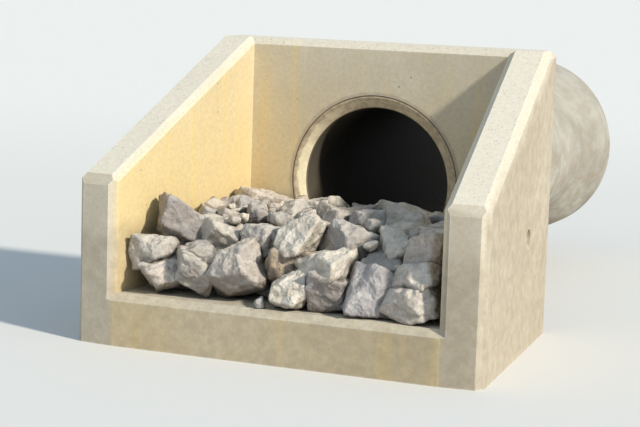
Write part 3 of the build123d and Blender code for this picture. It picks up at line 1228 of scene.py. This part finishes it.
@dataclass
class StoneBed:
    """Stones on the slab between the wings: hearting, set stones over it, and small ones in the hollows."""

    finish: Material
    channel: Channel
    pattern: Pattern
    seed: int = 11
    tries: int = 160
    size_range: tuple[float, float] = (0.84, 1.18)
    edge_share: float = 0.3
    sink: float = 0.1
    slope_start: float = 0.08
    slope_length: float = 0.11
    set_levels: int = 5
    # The hearting lies deep in the bed, so most of its colour is hidden under painted shade
    hearting: Course = Course("stones_hearting", Grade.MEDIUM, 70, 3, 0.8, 0.0, 0.15, silt_and_shade=0.8)
    fillers: tuple[Course, ...] = (
        Course("stones_small", Grade.SMALL, 60, 3, 0.8, 0.11, 0.24, last=True),
        Course("stones_chips", Grade.CHIP, 50, 3, 0.8, 0.10, 0.23, last=True),
    )

    @classmethod
    def between_wings(cls, casting: "Casting", finish: Material, clearance: float = 0.006) -> "StoneBed":
        """Lay out an empty bed on the casting's slab.

        Args:
            casting: The casting whose wings and wall hold the stones.
            finish: The stones' material.
            clearance: The space that the solid bed keeps from the concrete.

        Returns:
            The bed, still to be built.
        """
        length = casting.wing_length - clearance
        slope = math.tan(casting.splay)
        channel = Channel(casting.slab_top, -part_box("stone_bed")[0].y, casting.half_width, slope)
        pattern = Pattern(casting.slab_top, length, casting.half_width - clearance, casting.splay)
        return cls(finish, channel, pattern)

    def ceiling(self, course: Course, depth: float) -> float:
        """Find how high a course's stones may reach.

        Args:
            course: The course.
            depth: The stone's distance in front of the wall.

        Returns:
            The height in the model's frame.
        """
        from_edge = self.channel.length - depth
        share = min(1.0, max(0.0, (from_edge - self.slope_start) / self.slope_length))
        return self.channel.floor + course.front_top + (course.top - course.front_top) * share

    def lay(self, maker: StoneMaker, course: Course) -> Stone | None:
        """Shape a stone and lay it in the best of several places.

        Args:
            maker: Shapes the stones.
            course: What kind of stone to lay.

        Returns:
            The stone in its place, or None where no try found room.
        """
        size = course.grade.value * maker.dice.uniform(*self.size_range)
        stone = maker.loose(size, course.levels)
        best = None
        for _ in range(self.tries):
            turn = maker.dice.uniform(0, 2 * math.pi)
            y = -maker.dice.uniform(size * self.edge_share, self.channel.length - size * self.edge_share)
            reach = float(self.channel.limit(np.array(-y)))
            x = maker.dice.uniform(-reach, reach)
            placed = stone.points @ np.array(Matrix.Rotation(turn, 3, "Z")).T + np.array((x, y, 0.0))
            if not self.channel.fits(placed):
                continue
            lift, gap = self.channel.rest(placed)
            lift -= size * self.sink
            top = float(placed[:, 2].max()) + lift
            if top > self.ceiling(course, -y) or gap > size * course.widest_gap:
                continue
            score = gap if course.last else lift + gap
            if best is None or score < best[0]:
                best = (score, placed + np.array((0.0, 0.0, lift)))
        if best is None:
            return None
        if course.last:
            self.channel.close(best[1])
        else:
            self.channel.cover(best[1])
        return Stone(best[1], stone.faces, stone.draw)

    def lay_course(self, maker: StoneMaker, course: Course) -> Object:
        """Lay one course of loose stones and return its piece."""
        tried = [self.lay(maker, course) for _ in range(course.count)]
        return self.join(course.name, [stone for stone in tried if stone is not None], course.silt_and_shade)

    def build(self) -> list[Object]:
        """Fill the channel.

        Returns:
            The pieces, each of several stones.
        """
        maker = StoneMaker(random.Random(self.seed))
        pieces = [self.lay_course(maker, self.hearting)]
        front: list[Stone] = []
        cover: list[Stone] = []
        for seat in self.pattern.seats():
            stone = maker.fitted(seat, self.channel, self.set_levels)
            self.channel.cover(stone.points)
            (front if seat.row >= self.pattern.cover_rows else cover).append(stone)
        pieces += [self.join("stones_front", front), self.join("stones_cover", cover)]
        pieces += [self.lay_course(maker, course) for course in self.fillers]
        return pieces

    def join(self, name: str, stones: list[Stone], silt_and_shade: float = 0.0) -> Object:
        """Make one piece of several stones, each with its own drawn colour values.

        Args:
            name: The piece's name.
            stones: The stones in their places.
            silt_and_shade: How much of their colour is hidden under painted shade in the silt colour.

        Returns:
            The piece, riding on the body and standing for the plain bed.
        """
        starts = np.cumsum([0] + [len(stone.points) for stone in stones])
        points = np.vstack([stone.points for stone in stones])
        faces = np.vstack([stone.faces + start for stone, start in zip(stones, starts)])
        piece = mesh_object(name, points, faces)
        draws = np.vstack([np.tile(stone.draw, (len(stone.points), 1)) for stone in stones])
        layer = piece.data.attributes.new(DRAWN, "FLOAT_VECTOR", "POINT")
        layer.data.foreach_set("vector", draws.astype(np.float32).ravel())
        layer = piece.data.attributes.new(SILT_AND_SHADE, "FLOAT", "POINT")
        layer.data.foreach_set("value", np.full(len(points), silt_and_shade, np.float32))
        piece.data.materials.append(self.finish)
        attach(piece, "root")
        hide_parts("stone_bed")
        log.info("%s: %d stones", name, len(stones))
        return piece


def paint(name: str, finish: Material) -> None:
    """Put one finish in every material slot of a CAD node.

    Args:
        name: The node's name.
        finish: The material that it gets.
    """
    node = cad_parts[name]
    if not node.material_slots:
        node.data.materials.append(finish)
    for place in node.material_slots:
        place.material = finish
    log.info("%s: %s", name, finish.name)


@dataclass(frozen=True)
class Casting:
    """The casting: back wall, two splayed wings and the slab between them."""

    effects: Effects
    axis_height: float
    half_width: float = 0.415
    wing_thickness: float = 0.125
    wing_length: float = 0.745
    splay: float = math.radians(5.6)
    slab_top: float = 0.15
    opening: float = 0.272

    def dress(self) -> None:
        """Give the casting its concrete."""
        paint("headwall_casting", CastConcrete(self.effects, self).material())


@dataclass(frozen=True)
class PipeRun:
    """The pipe that the wall holds, and the mortar of its three joints."""

    effects: Effects
    axis_height: float
    bore: float = 0.232
    wall: float = 0.035
    collar: float = 0.268
    collar_colours: tuple[Colour, Colour] = ((0.95, 0.85, 0.60), (0.82, 0.72, 0.51))
    packing_colours: tuple[Colour, Colour] = ((0.33, 0.29, 0.225), (0.30, 0.26, 0.20))
    fillet_colours: tuple[Colour, Colour] = ((0.42, 0.375, 0.305), (0.36, 0.32, 0.26))

    def dress(self) -> None:
        """Give the pipe its spun concrete and each joint its own mortar."""
        paint("outlet_pipe", SpunConcrete(self.effects, self).material())
        collar = CollarMortar(self.effects, "collar_mortar", *self.collar_colours, sizes=self)
        paint("mouth_collar", collar.material())
        paint("joint_packing", Mortar(self.effects, "packing_mortar", *self.packing_colours).material())
        paint("rear_fillet", Mortar(self.effects, "fillet_mortar", *self.fillet_colours).material())


@dataclass(frozen=True)
class LiftingAnchors:
    """The four steel anchors in their recesses."""

    effects: Effects
    names: tuple[str, ...] = (
        "wall_anchor_left",
        "wall_anchor_right",
        "wing_anchor_left",
        "wing_anchor_right",
    )

    def dress(self) -> None:
        """Give the anchors their zinc and rust."""
        steel = GalvanisedSteel(self.effects).material()
        for name in self.names:
            paint(name, steel)


# Studio

@dataclass
class Studio:
    """Pale floor and surround, a soft key in an even light, and the camera at the photograph's angle."""

    floor_colour: Colour = (0.80, 0.79, 0.77)
    fibre_colour: Colour = (0.72, 0.71, 0.69)
    floor_radius: float = 120.0
    floor_corners: int = 48
    background: Colour = (0.76, 0.76, 0.75)
    glow: float = 0.12
    glow_start: float = 1.2
    glow_end: float = 9.0
    sky: Colour = (0.66, 0.83, 1.0)
    sky_strength: float = 0.53
    key_azimuth: float = -18.0
    key_elevation: float = 31.0
    key_width: float = 4.5
    key_distance: float = 5.0
    key_strength: float = 3.6
    key_tint: Colour = (1.0, 0.94, 0.82)
    photo_width: float = 640.0
    sensor: float = 36.0
    focal_pixels: float = 1850.0
    standpoint: Vector = Vector((2.055, -5.25, 1.107))
    yaw: float = math.radians(23.0)
    pitch: float = math.radians(7.85)
    roll: float = math.radians(1.86)

    def build_floor(self) -> Object:
        """Lay a wide round floor that stays pale into the distance.

        Returns:
            The floor.
        """
        count = self.floor_corners
        turns = [2 * math.pi * corner / count for corner in range(count)]
        rim = [(math.cos(turn), math.sin(turn), 0.0) for turn in turns]
        points = self.floor_radius * np.array([(0.0, 0.0, 0.0)] + rim)
        faces = np.array([(0, corner + 1, (corner + 1) % count + 1) for corner in range(count)])
        floor = mesh_object("studio_floor", points, faces)
        material, wire, shader = new_material("studio_paper")
        fibre = wire.cloud(wire.place(), 3.0)
        colour = wire.tint(self.floor_colour, self.fibre_colour, fibre, 0.05)
        wire.feed(shader.inputs["Base Color"], colour)
        shader.inputs["Roughness"].default_value = 0.9
        shader.inputs["Specular IOR Level"].default_value = 0.1
        away = wire.add("VectorMath", {0: wire.place()}, operation="LENGTH").outputs["Value"]
        far = wire.span(away, self.glow_start, self.glow_end, 0.0, self.glow)
        seen = wire.add("LightPath").outputs["Is Camera Ray"]
        wire.feed(shader.inputs["Emission Strength"], wire.times(far, seen))
        shader.inputs["Emission Color"].default_value = (*self.background, 1.0)
        floor.data.materials.append(material)
        floor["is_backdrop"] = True
        return floor

    def build_world(self) -> None:
        """Light the scene evenly from all round, and show a pale background."""
        world = bpy.data.worlds.new("studio_world")
        world.use_nodes = True
        wire = Wiring(world.node_tree)
        light = world.node_tree.nodes["Background"]
        wire.feed(light.inputs["Color"], self.sky)
        wire.feed(light.inputs["Strength"], self.sky_strength)
        backdrop = wire.add("Background", {"Color": self.background, "Strength": 1.0})
        path = wire.add("LightPath").outputs
        seen = wire.most(path["Is Camera Ray"], path["Is Glossy Ray"], path["Is Transmission Ray"])
        both = wire.add("MixShader", {0: seen, 1: light.outputs[0], 2: backdrop.outputs[0]})
        wire.feed(world.node_tree.nodes["World Output"].inputs["Surface"], both.outputs[0])
        bpy.context.scene.world = world

    def build_key(self) -> Object:
        """Hang a distant soft key low on the right.

        Returns:
            The lamp.
        """
        turn, rise = math.radians(self.key_azimuth), math.radians(self.key_elevation)
        away = Vector((math.cos(turn) * math.cos(rise), math.sin(turn) * math.cos(rise), math.sin(rise)))
        data = bpy.data.lights.new("key", "SUN")
        data.angle = math.radians(self.key_width)
        data.energy = self.key_strength
        data.color = self.key_tint
        lamp = bpy.data.objects.new("key", data)
        lamp.rotation_mode = "QUATERNION"
        lamp.rotation_quaternion = away.to_track_quat("Z", "Y")
        lamp.location = away * self.key_distance
        bpy.context.scene.collection.objects.link(lamp)
        return lamp

    def build_camera(self) -> Object:
        """Stand the camera where the photograph was taken, aimed closer in.

        Returns:
            The camera.
        """
        forward = Vector((
            -math.sin(self.yaw) * math.cos(self.pitch),
            math.cos(self.yaw) * math.cos(self.pitch),
            -math.sin(self.pitch),
        ))
        level = Vector((math.cos(self.yaw), math.sin(self.yaw), 0.0))
        rise = level.cross(forward)
        right = level * math.cos(self.roll) + rise * math.sin(self.roll)
        up = rise * math.cos(self.roll) - level * math.sin(self.roll)
        data = bpy.data.cameras.new("camera")
        data.sensor_width = self.sensor
        data.lens = self.focal_pixels / self.photo_width * self.sensor
        camera = bpy.data.objects.new("camera", data)
        camera.rotation_mode = "QUATERNION"
        camera.rotation_quaternion = Matrix((right, up, -forward)).transposed().to_quaternion()
        camera.location = self.standpoint
        bpy.context.scene.collection.objects.link(camera)
        bpy.context.scene.camera = camera
        return camera


def main() -> None:
    """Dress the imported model, add the loose stones, and set up the studio."""
    logging.basicConfig(level=logging.INFO, format="%(name)s %(message)s")
    bpy.context.scene.view_settings.view_transform = "Standard"
    effects = Effects()
    low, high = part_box("outlet_pipe")
    axis_height = (low.z + high.z) / 2
    casting = Casting(effects, axis_height)
    casting.dress()
    PipeRun(effects, axis_height).dress()
    LiftingAnchors(effects).dress()
    StoneBed.between_wings(casting, BrokenStone(effects).material()).build()
    studio = Studio()
    studio.build_floor()
    studio.build_world()
    studio.build_key()
    studio.build_camera()
    low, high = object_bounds()


if __name__ == "__main__":
    main()
